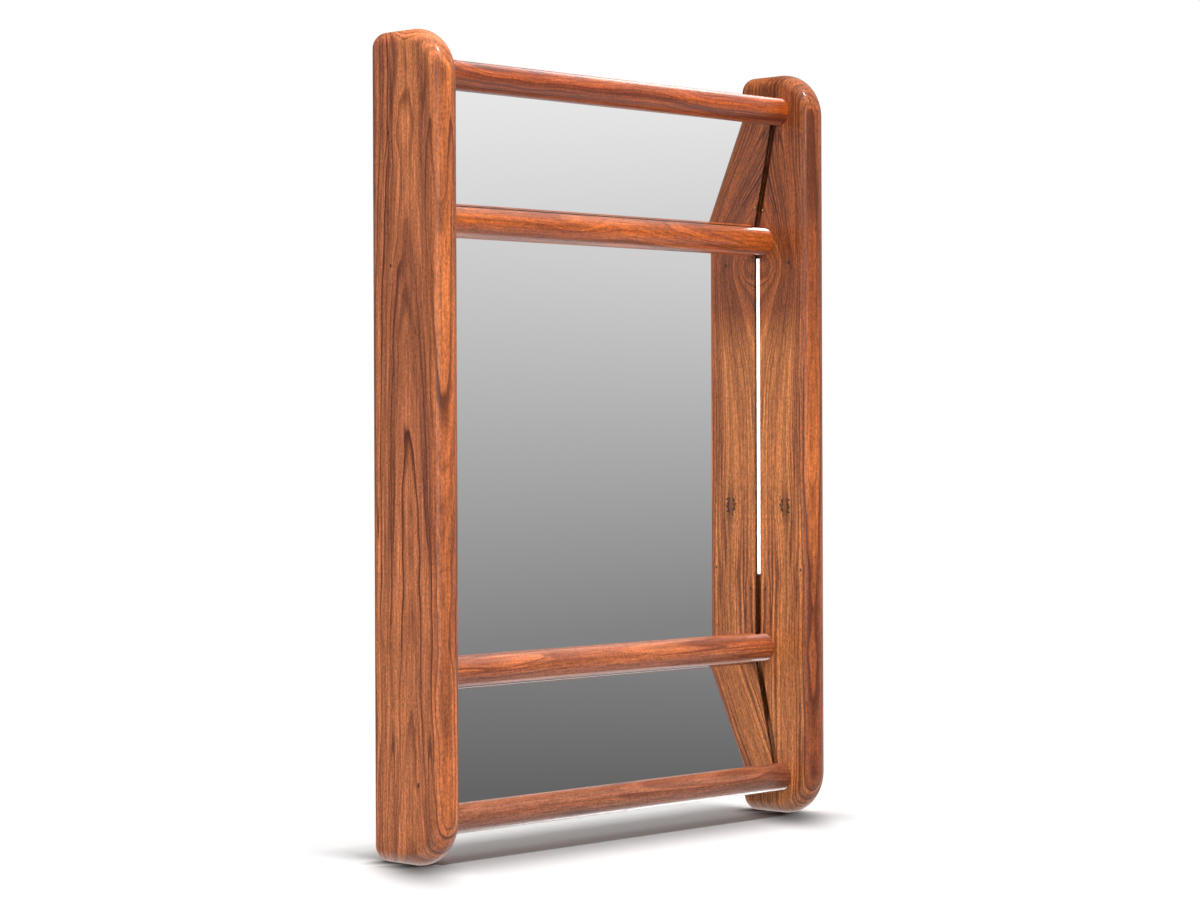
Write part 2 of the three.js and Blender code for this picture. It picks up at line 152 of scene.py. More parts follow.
def beside_pane(up, behind, along):
    """The (y, z) point behind a sloping pane's face and along it from the fold; up is 1 or -1."""
    fold = FOLD_HEIGHTS[up > 0]
    y = GLASS_Y + behind * math.cos(FOLD_ANGLE) - along * math.sin(FOLD_ANGLE)
    z = fold + up * (behind * math.sin(FOLD_ANGLE) + along * math.cos(FOLD_ANGLE))
    return y, z


def add_rebate(bm, side, inner_x, back_y):
    """The folded rebate runs out through the board's back edge."""
    elbow = REBATE_LIP * math.tan(FOLD_ANGLE / 2)
    ends = ((-1, REBATE_END), (-1, elbow), (1, elbow), (1, REBATE_END))
    lip = [beside_pane(up, -REBATE_LIP, along) for up, along in ends]
    past_back = back_y + 0.001
    outline = [(past_back, lip[0][1]), *lip, (past_back, lip[3][1])]
    add_prism(bm, outline, inner_x - side * 0.005, inner_x + side * REBATE_DEPTH)


def node_bore(node):
    """Centre and radius, in (y, z), and the x range of a CAD node that lies along X."""
    low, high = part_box(node)
    return (low.y + high.y) / 2, (low.z + high.z) / 2, (high.y - low.y) / 2, low.x, high.x


def add_node_bore(bm, node):
    y, z, radius, x0, x1 = node_bore(node)
    add_prism(bm, circle(radius + BORE_GAP, y, z, 24), x0 - BORE_GAP, x1 + BORE_GAP)


class Wiring:
    """Adds nodes to one node tree. An input takes a value or another node's output."""

    def __init__(self, tree):
        self.tree = tree

    def feed(self, socket, value):
        if isinstance(value, bpy.types.NodeSocket):
            self.tree.links.new(value, socket)
        elif value is not None:
            socket.default_value = value

    def node(self, kind, settings=None, **inputs):
        node = self.tree.nodes.new(kind)
        for key, value in (settings or {}).items():
            setattr(node, key, value)
        for key, value in inputs.items():
            self.feed(node.inputs[key.replace("_", " ")], value)
        return node

    def math(self, operation, a, b=None, c=None, clamp=False):
        node = self.node("ShaderNodeMath", {"operation": operation, "use_clamp": clamp})
        for socket, value in zip(node.inputs, (a, b, c)):
            self.feed(socket, value)
        return node.outputs[0]

    def vector(self, operation, a, b=None, scale=None):
        node = self.node("ShaderNodeVectorMath", {"operation": operation})
        self.feed(node.inputs[0], a)
        self.feed(node.inputs[1], b)
        if scale is not None:
            self.feed(node.inputs["Scale"], scale)
        return node.outputs["Value" if operation in ("LENGTH", "DOT_PRODUCT") else "Vector"]

    def ramp(self, value, low, high, to_low=0.0, to_high=1.0):
        """The value's place between low and high, eased at both ends."""
        node = self.node("ShaderNodeMapRange", {"interpolation_type": "SMOOTHSTEP"})
        for key, number in (("Value", value), ("From Min", low), ("From Max", high),
                            ("To Min", to_low), ("To Max", to_high)):
            self.feed(node.inputs[key], number)
        return node.outputs["Result"]

    def noise(self, vector, scale=1.0, detail=2.0, roughness=0.5, output="Fac"):
        node = self.node("ShaderNodeTexNoise", Vector=vector, Scale=scale, Detail=detail,
                         Roughness=roughness)
        return node.outputs[output]

    def mix(self, factor, a, b, blend="MIX"):
        node = self.node("ShaderNodeMix", {"data_type": "RGBA", "blend_type": blend})
        for index, value in ((0, factor), (6, a), (7, b)):
            self.feed(node.inputs[index], value)
        return node.outputs[2]


def colour(red, green, blue):
    """A screen colour of 0 to 255 as Blender's linear colour."""
    def linear(value):
        value /= 255
        return value / 12.92 if value <= 0.04045 else ((value + 0.055) / 1.055) ** 2.4
    return linear(red), linear(green), linear(blue), 1.0


def new_group(name, inputs, outputs):
    """An empty shader node group with its sockets, its wiring, its inputs and its output node."""
    group = bpy.data.node_groups.new(name, "ShaderNodeTree")
    for direction, sockets in (("INPUT", inputs), ("OUTPUT", outputs)):
        for socket, kind in sockets:
            group.interface.new_socket(socket, in_out=direction, socket_type="NodeSocket" + kind)
    wiring = Wiring(group)
    given = wiring.node("NodeGroupInput").outputs
    return group, wiring, given, wiring.node("NodeGroupOutput")


def make_walnut_group():
    """Solid walnut with its grain along Z. Growth rings go round a heart line that leans and
    wanders. Push bends the rings, as round a knot."""
    group, w, given, out = new_group(
        "walnut grain",
        [("Vector", "Vector"), ("Heart", "Vector"), ("Lean", "Vector"), ("Ring Spacing", "Float"),
         ("Wander", "Float"), ("Push", "Float"), ("Seed", "Float"), ("Amber", "Color"),
         ("Rose", "Color"), ("Line", "Color"), ("Line Strength", "Float")],
        [("Color", "Color"), ("Roughness", "Float"), ("Height", "Float")])
    place = given["Vector"]
    shift = w.node("ShaderNodeCombineXYZ", X=given["Seed"], Y=given["Seed"], Z=given["Seed"]).outputs[0]

    def stretched(across, along):
        """The place with one scale across the grain and one along it, moved by the seed."""
        scaled = w.vector("MULTIPLY", place, (across, across, along))
        return w.vector("ADD", scaled, shift)

    def layered(across, along):
        """As stretched, but the layers follow the rings."""
        scaled = w.vector("MULTIPLY", rings, (across, across, along))
        return w.vector("ADD", scaled, shift)

    def sway(across, along, detail, amount):
        """A sideways shift by a noise of those scales, that is zero on average."""
        wave = w.noise(stretched(across, along), detail=detail, output="Color")
        return w.vector("SCALE", w.vector("SUBTRACT", wave, (0.5, 0.5, 0.5)), scale=amount)

    # the heart line wanders slowly along the trunk, and each ring has small waves of its own
    moved = w.vector("ADD", place, sway(6.0, 3.4, 1.0, given["Wander"]))
    moved = w.vector("ADD", moved, sway(30.0, 14.0, 1.0, w.math("MULTIPLY", given["Wander"], 0.22)))
    moved = w.vector("ADD", moved, sway(240.0, 40.0, 1.0, 0.0005))
    along = w.node("ShaderNodeSeparateXYZ", Vector=place).outputs["Z"]
    heart = w.vector("ADD", given["Heart"], w.vector("SCALE", given["Lean"], scale=along))
    from_heart = w.vector("MULTIPLY", w.vector("SUBTRACT", moved, heart), (1.0, 1.0, 0.0))
    reach = w.math("ADD", w.vector("LENGTH", from_heart), given["Push"])

    rings = w.node("ShaderNodeCombineXYZ", X=reach, Z=along).outputs[0]

    # years differ in width, in tint and in how dark their late wood is
    years = w.math("DIVIDE", reach, given["Ring Spacing"])

    def by_year(scale, detail=1.0):
        """A smooth noise over the years, from 0 to 1."""
        place_in_years = w.math("MULTIPLY_ADD", years, scale, given["Seed"])
        return w.node("ShaderNodeTexNoise", {"noise_dimensions": "1D"}, W=place_in_years, Scale=1.0,
                      Detail=detail).outputs["Fac"]
    band = by_year(0.55, 2.0)
    years = w.math("ADD", years, w.math("MULTIPLY", by_year(0.31), 3.2))
    part = w.math("FRACT", years)
    late = w.math("MULTIPLY", w.ramp(part, 0.45, 0.92), w.ramp(part, 0.92, 1.0, 1.0, 0.0))
    chance = w.node("ShaderNodeTexWhiteNoise", {"noise_dimensions": "1D"},
                    W=w.math("ADD", w.math("FLOOR", years), given["Seed"])).outputs["Value"]
    patchy = w.ramp(w.noise(stretched(16.0, 5.0), detail=2.0), 0.30, 0.58, 0.35, 1.0)
    line = w.math("MULTIPLY", late, w.math("MULTIPLY_ADD", chance, 0.72, 0.28))
    line = w.math("MULTIPLY", line, patchy)

    # thin dark lines part and meet like contours, and fibres, pores and specks run with the grain
    veins = w.noise(layered(130.0, 2.2), detail=3.0, roughness=0.62)
    contour = w.math("FRACT", w.math("MULTIPLY", w.noise(layered(70.0, 1.5), detail=1.0), 11.0))
    thin = w.math("MULTIPLY", w.ramp(contour, 0.50, 0.86), w.ramp(contour, 0.86, 0.98, 1.0, 0.0))
    thin = w.math("MULTIPLY", thin, w.ramp(w.noise(layered(90.0, 4.0), detail=1.0), 0.36, 0.62, 0.12, 0.85))
    fibres = w.noise(stretched(420.0, 22.0), detail=2.0, roughness=0.7)
    streaks = w.noise(stretched(250.0, 4.0), detail=2.0, roughness=0.7)
    vessels = w.noise(stretched(560.0, 80.0), detail=1.0, roughness=0.6)
    specks = w.noise(stretched(540.0, 320.0), detail=1.0)
    pores = w.math("MULTIPLY", w.ramp(vessels, 0.55, 0.68), w.ramp(veins, 0.40, 0.60, 0.45, 1.0))
    line = w.math("MAXIMUM", line, thin)

    cloud = w.noise(stretched(16.0, 3.4), detail=3.0, roughness=0.6)
    tone = w.math("ADD", w.math("MULTIPLY", cloud, 0.8), w.math("MULTIPLY", veins, 0.8))
    tone = w.math("ADD", tone, w.math("MULTIPLY", band, 0.5))
    base = w.mix(w.ramp(tone, 0.65, 1.45), given["Amber"], given["Rose"])
    lit = w.ramp(veins, 0.28, 0.72, 1.26, 0.78)
    lit = w.math("MULTIPLY", lit, w.ramp(fibres, 0.28, 0.72, 0.80, 1.20))
    lit = w.math("MULTIPLY", lit, w.ramp(streaks, 0.28, 0.72, 1.20, 0.80))
    lit = w.math("MULTIPLY", lit, w.ramp(specks, 0.25, 0.75, 0.74, 1.26))
    base = w.mix(1.0, base, w.node("ShaderNodeCombineColor", Red=lit, Green=lit, Blue=lit).outputs[0], "MULTIPLY")
    veined = w.mix(w.math("MULTIPLY", line, given["Line Strength"], clamp=True), base, given["Line"])
    pitted = w.mix(w.math("MULTIPLY", pores, 0.45), veined, given["Line"])
    w.feed(out.inputs["Color"], pitted)
    w.feed(out.inputs["Roughness"], w.math("MULTIPLY_ADD", pores, 0.2, w.ramp(fibres, 0.2, 0.8, 0.34, 0.44)))
    height = w.math("MULTIPLY_ADD", pores, -1.0, w.math("MULTIPLY", fibres, 0.45))
    w.feed(out.inputs["Height"], w.math("MULTIPLY_ADD", line, -0.25, height))
    return group


def make_knot_group():
    """A knot. Push bends the rings round it to one side and Part spreads them to both sides. Its
    heart is dark, or only its two flanks if hollow."""
    group, w, given, out = new_group(
        "knot",
        [("Vector", "Vector"), ("Centre", "Vector"), ("Spread", "Vector"), ("Push", "Float"),
         ("Part", "Float"), ("Pin", "Float"), ("Hollow", "Float")],
        [("Push", "Float"), ("Dark", "Float")])
    offset = w.vector("SUBTRACT", given["Vector"], given["Centre"])
    scaled = w.vector("DIVIDE", offset, given["Spread"])
    share = w.vector("LENGTH", scaled)
    swell = w.math("EXPONENT", w.math("MULTIPLY", w.math("MULTIPLY", share, share), -1.0))
    aside = w.node("ShaderNodeSeparateXYZ", Vector=scaled).outputs["Y"]
    push = w.math("MULTIPLY_ADD", aside, given["Part"], given["Push"])
    w.feed(out.inputs["Push"], w.math("MULTIPLY", swell, push))
    ragged = w.noise(w.vector("SCALE", offset, scale=330.0), detail=2.0)
    away = w.vector("LENGTH", w.vector("MULTIPLY", offset, (1.0, 1.0, 0.62)))
    away = w.math("MULTIPLY", away, w.math("MULTIPLY_ADD", ragged, 2.2, -0.1))
    disc = w.ramp(away, w.math("MULTIPLY", given["Pin"], 0.75), given["Pin"], 1.0, 0.0)
    core = w.ramp(away, w.math("MULTIPLY", given["Pin"], 0.15), w.math("MULTIPLY", given["Pin"], 0.45), 1.0, 0.0)
    flank = w.math("DIVIDE", w.math("ABSOLUTE", w.node("ShaderNodeSeparateXYZ", Vector=offset).outputs["Y"]),
                   given["Pin"])
    flank = w.math("MAXIMUM", w.ramp(flank, 0.0, 0.5, 0.25, 1.0), w.math("SUBTRACT", 1.0, given["Hollow"]))
    rim = w.math("SUBTRACT", disc, w.math("MULTIPLY", core, given["Hollow"]), clamp=True)
    halo = w.math("MULTIPLY", w.math("MULTIPLY", swell, swell), w.math("MULTIPLY", given["Hollow"], 0.3))
    w.feed(out.inputs["Dark"], w.math("MAXIMUM", w.math("MULTIPLY", rim, flank), halo))
    return group


walnut_grain = make_walnut_group()
knot_swirl = make_knot_group()

AMBER = colour(202, 120, 70)
ROSE = colour(158, 88, 60)
LATE_WOOD = colour(82, 34, 22)
KNOT = colour(40, 22, 14)
# FRONT_GLOW_TINT is painted light: it makes the front edge a deeper orange, standing in for the glow it catches from
# the front lamps
DARK_WOOD = (0.50, 0.38, 0.36, 1.0)      # multiply the grain's colour in the darker upper part,
FRONT_GLOW_TINT = (0.78, 0.68, 0.52, 1.0)     # and along the front edge


def new_material(name):
    """A material with its wiring and its Principled shader."""
    material = bpy.data.materials.new(name)
    material.use_nodes = True
    wiring = Wiring(material.node_tree)
    return material, wiring, material.node_tree.nodes["Principled BSDF"]


def walnut_material(name, heart, lean, seed, knots=(), turn=None, spacing=0.0032, wander=0.030,
                    line_strength=1.0, amber=AMBER, rose=ROSE, dark_above=None, front_glow_below=None,
                    front_glow_tint=FRONT_GLOW_TINT):
    """Oiled satin walnut. turn brings the piece's long way to the grain's Z."""
    material, w, shader = new_material(name)
    place = w.node("ShaderNodeTexCoord").outputs["Object"]
    if turn:
        place = w.node("ShaderNodeMapping", {"vector_type": "POINT"}, Vector=place, Rotation=turn).outputs[0]
    push, dark = 0.0, 0.0
    for centre, spread, amount, part, pin, hollow in knots:
        knot = w.node("ShaderNodeGroup", {"node_tree": knot_swirl}, Vector=place, Centre=centre,
                      Spread=spread, Push=amount, Part=part, Pin=pin, Hollow=hollow)
        push = w.math("ADD", knot.outputs["Push"], push)
        dark = w.math("MAXIMUM", knot.outputs["Dark"], dark)
    grain = w.node("ShaderNodeGroup", {"node_tree": walnut_grain}, Vector=place, Heart=heart,
                   Lean=lean, Ring_Spacing=spacing, Wander=wander, Push=push, Seed=seed,
                   Amber=amber, Rose=rose, Line=LATE_WOOD, Line_Strength=line_strength)
    tint = grain.outputs["Color"]
    spot = w.node("ShaderNodeSeparateXYZ", Vector=place).outputs
    front = w.ramp(spot["Y"], *front_glow_below) if front_glow_below else 0.0
    if dark_above:
        shade = w.math("MULTIPLY_ADD", push, -SWIRL_SHADE, w.ramp(spot["Z"], *dark_above), clamp=True)
        shade = w.math("MULTIPLY", shade, w.math("MULTIPLY_ADD", front, -0.85, 1.0))
        tint = w.mix(shade, tint, w.mix(1.0, tint, DARK_WOOD, "MULTIPLY"))
    # painted glow along the front edge, standing in for the light it catches from the front
    if front_glow_below:
        tint = w.mix(front, tint, w.mix(1.0, tint, front_glow_tint, "MULTIPLY"))
    if knots:
        tint = w.mix(w.math("MULTIPLY", dark, 0.9), tint, KNOT)
    w.feed(shader.inputs["Base Color"], tint)
    w.feed(shader.inputs["Roughness"], grain.outputs["Roughness"])
    shader.inputs["Specular IOR Level"].default_value = 0.35
    shader.inputs["Coat Weight"].default_value = 0.28
    shader.inputs["Coat Roughness"].default_value = 0.12
    bump = w.node("ShaderNodeBump", Strength=0.3, Distance=0.00025, Height=grain.outputs["Height"])
    w.feed(shader.inputs["Normal"], bump.outputs["Normal"])
    return material


def pin_knot(x, y, z, pin=0.0014):
    """A knot a few millimetres wide."""
    return (x, y, z), (0.009, 0.009, 0.018), 0.0, 0.003, pin, 0.0


SWIRL_SHADE = 6.0           # how much darker the wood is per metre that a knot pushes the rings
LEFT_FACE, RIGHT_FACE = -0.3098, 0.278
FRONT_GLOW_DEPTH = (-0.036, -0.050)       # the painted glow of the front edge comes in over this depth
BOARD_FIGURES = {
    "left": dict(heart=(-0.288, -0.010, 0.0), lean=(0.030, 0.006, 0.0), seed=5.3, spacing=0.0044,
                 wander=0.018, front_glow_below=FRONT_GLOW_DEPTH,
                 knots=(pin_knot(LEFT_FACE, 0.022, 0.757), pin_knot(LEFT_FACE, 0.017, 0.748, 0.0010),
                        pin_knot(LEFT_FACE, 0.019, 0.620), pin_knot(LEFT_FACE, -0.020, 0.085, 0.0018))),
    "right": dict(heart=(0.400, 0.130, 0.0), lean=(-0.006, 0.010, 0.0), seed=8.2, spacing=0.0042,
                  wander=0.016, amber=colour(216, 138, 76), rose=colour(180, 104, 60),
                  dark_above=(0.52, 0.61), front_glow_below=FRONT_GLOW_DEPTH,
                  front_glow_tint=(0.64, 0.47, 0.36, 1.0),
                  knots=(((RIGHT_FACE, 0.014, 0.640), (0.06, 0.044, 0.085), -0.030, 0.0, 0.0, 0.0),
                         ((RIGHT_FACE, 0.008, 0.641), (0.06, 0.026, 0.024), -0.026, 0.0, 0.0, 0.0),
                         ((RIGHT_FACE, -0.016, 0.360), (0.02, 0.013, 0.040), 0.0, 0.009, 0.0080, 1.0),
                         pin_knot(RIGHT_FACE, -0.023, 0.644, 0.0018), pin_knot(RIGHT_FACE, 0.014, 0.262),
                         pin_knot(RIGHT_FACE, -0.040, 0.286))),
}


def make_side_board(name, side):
    node = name + "_side_board"
    low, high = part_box(node)
    board = new_piece(name + "_board", lambda bm: add_board(bm, low, high))
    inner_x = low.x if side > 0 else high.x
    carve(board, lambda bm: add_rebate(bm, side, inner_x, high.y))
    inset_nodes = [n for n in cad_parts
                   if name in n and any(kind in n for kind in ("_dowel", "_pin"))]

    def add_bores(bm):
        for inset in inset_nodes:
            add_node_bore(bm, inset)
    carve(board, add_bores)
    smooth(board)
    board.data.materials.append(walnut_material(name + " board walnut", **BOARD_FIGURES[name]))
    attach(board, "root")
    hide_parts(node)


for side_name, side in SIDES:
    make_side_board(side_name, side)

# ---- rails --------------------------------------------------------------------------------
# Four round bars turned from the same walnut and doweled between the boards. The middle two are
# planed flat behind for the middle pane, and the end two are rebated for the sloping panes.

RAIL_STEPS = 96
PANE_REACH = 0.1293
RAIL_TURN = (0.0, math.pi / 2, 0.0)      # brings the rail's X to the grain's Z, and Z to its X
RAIL_FIGURES = {
    "top_rail": dict(heart=(0.776, 0.022, 0.0), lean=(0.010, -0.006, 0.0), seed=12.4, spacing=0.0026,
                     wander=0.034, amber=colour(168, 80, 28), rose=colour(124, 50, 20)),
    "upper_rail": dict(heart=(0.612, 0.060, 0.0), lean=(0.030, -0.012, 0.0), seed=21.9, spacing=0.0048,
                       wander=0.050, amber=colour(186, 96, 36), rose=colour(158, 70, 26),
                       line_strength=0.55),
    "lower_rail": dict(heart=(0.140, 0.070, 0.0), lean=(0.006, 0.006, 0.0), seed=33.1, spacing=0.0030,
                       wander=0.016, amber=colour(174, 96, 52), rose=colour(146, 72, 42)),
    "bottom_rail": dict(heart=(0.000, 0.034, 0.0), lean=(0.012, -0.010, 0.0), seed=41.6, spacing=0.0036,
                        wander=0.024, amber=colour(148, 87, 57), rose=colour(124, 69, 47)),
}


def add_rail_seat(bm, name, low, high):
    """What is cut off a rail behind, for the pane that lies against it."""
    if name in ("top_rail", "bottom_rail"):
        up = 1 if name == "top_rail" else -1
        corners = ((-BORE_GAP, 0), (0.11, 0), (0.11, PANE_REACH), (-BORE_GAP, PANE_REACH))
        outline = [beside_pane(up, behind, along) for behind, along in corners]
    else:
        face = high.y
        outline = [(face, low.z - 0.01), (face + 0.03, low.z - 0.01),
                   (face + 0.03, high.z + 0.01), (face, high.z + 0.01)]
    add_prism(bm, outline, low.x - 0.01, high.x + 0.01)


def make_rail(name):
    low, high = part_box(name)
    radius = (high.z - low.z) / 2
    axis_y, axis_z = low.y + radius, low.z + radius
    rail = new_piece(name.replace("_rail", "_bar"),
                     lambda bm: add_prism(bm, circle(radius, axis_y, axis_z, RAIL_STEPS), low.x, high.x))
    carve(rail, lambda bm: add_rail_seat(bm, name, low, high))

    def add_bores(bm):
        for side_name, _ in SIDES:
            add_node_bore(bm, f"{name}_{side_name}_dowel")
    carve(rail, add_bores)
    smooth(rail)
    rail.data.materials.append(walnut_material(
        name.replace("_", " ") + " walnut", turn=RAIL_TURN, **RAIL_FIGURES[name]))
    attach(rail, "root")
    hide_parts(name)


for rail_name in RAIL_FIGURES:
    make_rail(rail_name)


def dress(nodes, material):
    """The CAD solids keep their shape and take the material."""
    for node in nodes:
        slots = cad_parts[node].data.materials
        slots.clear()
        slots.append(material)


def nodes_with(*endings):
    return [n for n in sorted(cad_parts) if n.endswith(endings)]


# ---- dowels -------------------------------------------------------------------------------
# Plain turned beech pins, glued half into a rail's end and half into the board.

def beech_material():
    material, w, shader = new_material("beech dowel")
    place = w.node("ShaderNodeTexCoord").outputs["Object"]
    fleck = w.noise(w.vector("MULTIPLY", place, (90.0, 900.0, 900.0)), detail=2.0)
    w.feed(shader.inputs["Base Color"], w.mix(w.ramp(fleck, 0.4, 0.7), colour(214, 172, 124), colour(178, 128, 84)))
    w.feed(shader.inputs["Roughness"], w.ramp(fleck, 0.3, 0.7, 0.55, 0.7))
    return material


dress(nodes_with("_dowel"), beech_material())

# ---- mirror panes -------------------------------------------------------------------------
# Three panes of silvered 5 mm glass with ground edges, one upright and two leaning forward. Near the sides the silver
# stops short of the edge, which leaves a dark brownish-green border: painted shade and reflection of the shaded
# rebate, with painted glints where the glass edge catches light.

SILVER_HALF_WIDTH = 0.2752
# past this the dark border takes painted glints
GLINT_EDGE = 0.2767
BACK_NORMAL = 0.5               # the face and the polished upper and lower edges point less to the back


def mirror_material():
    material, w, shader = new_material("silvered glass")
    place = w.node("ShaderNodeTexCoord").outputs["Object"]
    aside = w.math("ABSOLUTE", w.node("ShaderNodeSeparateXYZ", Vector=place).outputs["X"])
    normal = w.node("ShaderNodeNewGeometry").outputs["Normal"]
    facing = w.math("LESS_THAN", w.node("ShaderNodeSeparateXYZ", Vector=normal).outputs["Y"], BACK_NORMAL)
    silver = w.math("MULTIPLY", facing, w.math("LESS_THAN", aside, SILVER_HALF_WIDTH))
    glint_speckles = w.noise(w.vector("MULTIPLY", place, (900.0, 900.0, 210.0)), detail=2.0, roughness=0.7)
    ground = w.math("MULTIPLY", w.math("GREATER_THAN", aside, GLINT_EDGE), w.ramp(glint_speckles, 0.50, 0.66))
    # painted shade and glints: the dark border stands for the shaded rebate seen in the glass, the green-grey specks
    # for light caught on the glass edge
    painted_rebate_shade = w.mix(ground, colour(44, 30, 16), colour(150, 166, 140))
    w.feed(shader.inputs["Base Color"], w.mix(silver, painted_rebate_shade, colour(246, 246, 246)))
    w.feed(shader.inputs["Metallic"], silver)
    w.feed(shader.inputs["Roughness"], w.math("MULTIPLY_ADD", silver, -0.2, 0.2))
    return material


dress(nodes_with("_mirror"), mirror_material())

# ---- backing panels -----------------------------------------------------------------------
# A sheet of brown hardboard behind each pane: smooth pressed face, fine specks of fibre.

def hardboard_material():
    material, w, shader = new_material("hardboard")
    place = w.node("ShaderNodeTexCoord").outputs["Object"]
    fibres = w.noise(w.vector("SCALE", place, scale=240.0), detail=5.0, roughness=0.7)
    cloud = w.noise(w.vector("SCALE", place, scale=14.0), detail=3.0)
    tint = w.mix(w.ramp(fibres, 0.35, 0.7), colour(112, 82, 58), colour(74, 52, 36))
    tint = w.mix(w.ramp(cloud, 0.3, 0.7, 0.0, 0.35), tint, colour(126, 96, 68))
    w.feed(shader.inputs["Base Color"], tint)
    w.feed(shader.inputs["Roughness"], w.ramp(fibres, 0.3, 0.7, 0.6, 0.8))
    bump = w.node("ShaderNodeBump", Strength=0.3, Distance=0.0003, Height=fibres)
    w.feed(shader.inputs["Normal"], bump.outputs["Normal"])
    return material


dress(nodes_with("_backing"), hardboard_material())

# ---- beads and hanging cleat --------------------------------------------------------------
# Sawn walnut: short chamfered beads hold the panes in the rebates, and a batten with a sloping
# lower edge carries the mirror on a wall batten. Both are screwed to the boards.

bead_walnut = walnut_material("bead walnut", heart=(0.0, 0.12, 0.0), lean=(0.01, 0.0, 0.0), seed=51.0,
                              amber=colour(150, 92, 56), rose=colour(118, 68, 44))
dress(nodes_with("_bead"), bead_walnut)
cleat_walnut = walnut_material("cleat walnut", heart=(0.90, 0.11, 0.0), lean=(0.02, 0.01, 0.0), seed=57.0,
                               turn=RAIL_TURN, amber=colour(150, 92, 56), rose=colour(118, 68, 44))
dress(["hanging_cleat"], cleat_walnut)

# ---- screws -------------------------------------------------------------------------------
# Zinc-plated wood screws with a cross recess: countersunk in the beads, pan-headed in the
# batten's pockets.

def zinc_material():
    material, w, shader = new_material("zinc plate")
    place = w.node("ShaderNodeTexCoord").outputs["Object"]
    bloom = w.noise(w.vector("SCALE", place, scale=520.0), detail=3.0)
    w.feed(shader.inputs["Base Color"], w.mix(bloom, colour(196, 198, 196), colour(158, 160, 158)))
    w.feed(shader.inputs["Roughness"], w.ramp(bloom, 0.3, 0.7, 0.28, 0.46))
    shader.inputs["Metallic"].default_value = 1.0
    return material


dress([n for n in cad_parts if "_screw_" in n], zinc_material())

# ---- pale strips --------------------------------------------------------------------------
# A strip of off-white felt on the rebate's wall beside the middle pane, seen through the slit.

def felt_material():
    material, w, shader = new_material("pale felt")
    place = w.node("ShaderNodeTexCoord").outputs["Object"]
    wool = w.noise(w.vector("SCALE", place, scale=900.0), detail=4.0, roughness=0.7)
    pale = w.mix(w.ramp(wool, 0.3, 0.7), colour(254, 253, 250), colour(244, 243, 238))
    w.feed(shader.inputs["Base Color"], pale)
    w.feed(shader.inputs["Roughness"], w.ramp(wool, 0.3, 0.7, 0.85, 1.0))
    shader.inputs["Sheen Weight"].default_value = 0.4
    bump = w.node("ShaderNodeBump", Strength=0.5, Distance=0.0004, Height=wool)
    w.feed(shader.inputs["Normal"], bump.outputs["Normal"])
    return material


dress(nodes_with("_felt_strip"), felt_material())

# ---- brass pins ---------------------------------------------------------------------------
# Small polished pins that stand out of the boards just above the upper fold.

def brass_material():
    material, w, shader = new_material("polished brass")
    place = w.node("ShaderNodeTexCoord").outputs["Object"]
    tarnish = w.noise(w.vector("SCALE", place, scale=700.0), detail=3.0)
    w.feed(shader.inputs["Base Color"], w.mix(w.ramp(tarnish, 0.4, 0.8), colour(226, 190, 116), colour(188, 148, 78)))
    w.feed(shader.inputs["Roughness"], w.ramp(tarnish, 0.3, 0.7, 0.16, 0.32))
    shader.inputs["Metallic"].default_value = 1.0
    return material


dress(nodes_with("_brass_pin"), brass_material())

# ---- floor --------------------------------------------------------------------------------
# A pale floor that keeps the soft shadow under the mirror. The overhead lamps cast part of it, and the rest is
# painted shadow in the floor's colour: a band along the mirror, and dark patches with tails at the feet. Away from
# the mirror it fades into the white surroundings, so that no edge or horizon shows. Mirrored rays pass it and see the
# studio.

FLOOR_RADIUS = 3.0
FLOOR_TONE = 0.94
SHADOW_TAIL_TURN = math.radians(34.6)  # from -Y towards -X, the way in which a foot's painted shadow runs out
FLOOR_FADE = (0.45, 0.95)      # distance from the mirror over which the floor turns white


def add_disc(bm):
    bmesh.ops.create_circle(bm, cap_ends=True, segments=96, radius=FLOOR_RADIUS)


